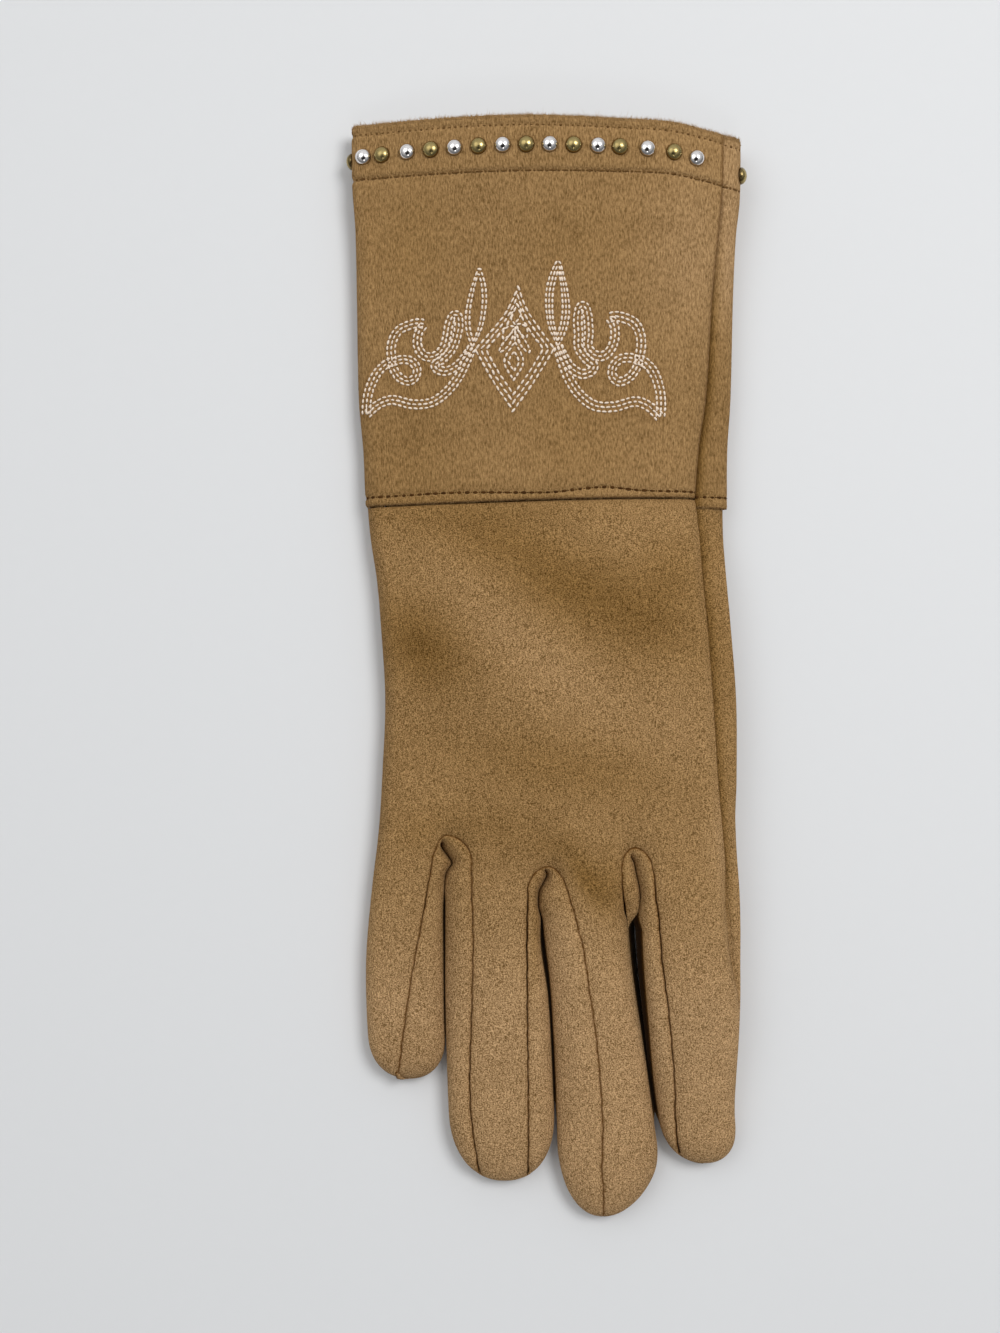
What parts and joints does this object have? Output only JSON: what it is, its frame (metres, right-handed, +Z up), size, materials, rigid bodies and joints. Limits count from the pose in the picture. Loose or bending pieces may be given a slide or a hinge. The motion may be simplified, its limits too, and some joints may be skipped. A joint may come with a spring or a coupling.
{
  "type": "studded gauntlet glove",
  "caption": "Suede dress glove lying palm down, with a long gauntlet cuff, a hem of domed studs and its thumb folded under the palm.",
  "frame": {"origin": "on the surface the glove lies on, under the middle of its outline", "axes": "+Y from the fingertips to the mouth of the cuff, +X towards the index finger, +Z up"},
  "size_m": [0.0991, 0.2743, 0.0178],
  "materials": {
    "suede": "tan faux suede with a soft short nap",
    "silver": "polished silver-coloured dome",
    "brass": "antique brass dome"
  },
  "bodies": {
    "root": {"back_panel": "suede", "cuff_back": "suede", "cuff_palm": "suede", "fourchette_little_ring": "suede", "fourchette_middle_index": "suede", "fourchette_ring_middle": "suede", "palm_panel": "suede", "stud_brass_02": "brass", "stud_brass_04": "brass", "stud_brass_06": "brass", "stud_brass_08": "brass", "stud_brass_10": "brass", "stud_brass_12": "brass", "stud_brass_14": "brass", "stud_brass_16": "brass", "stud_brass_18": "brass", "stud_brass_20": "brass", "stud_brass_22": "brass", "stud_brass_24": "brass", "stud_brass_26": "brass", "stud_brass_28": "brass", "stud_brass_30": "brass", "stud_brass_32": "brass", "stud_silver_01": "silver", "stud_silver_03": "silver", "stud_silver_05": "silver", "stud_silver_07": "silver", "stud_silver_09": "silver", "stud_silver_11": "silver", "stud_silver_13": "silver", "stud_silver_15": "silver", "stud_silver_17": "silver", "stud_silver_19": "silver", "stud_silver_21": "silver", "stud_silver_23": "silver", "stud_silver_25": "silver", "stud_silver_27": "silver", "stud_silver_29": "silver", "stud_silver_31": "silver", "thumb": "suede"}
  },
  "joints": []
}
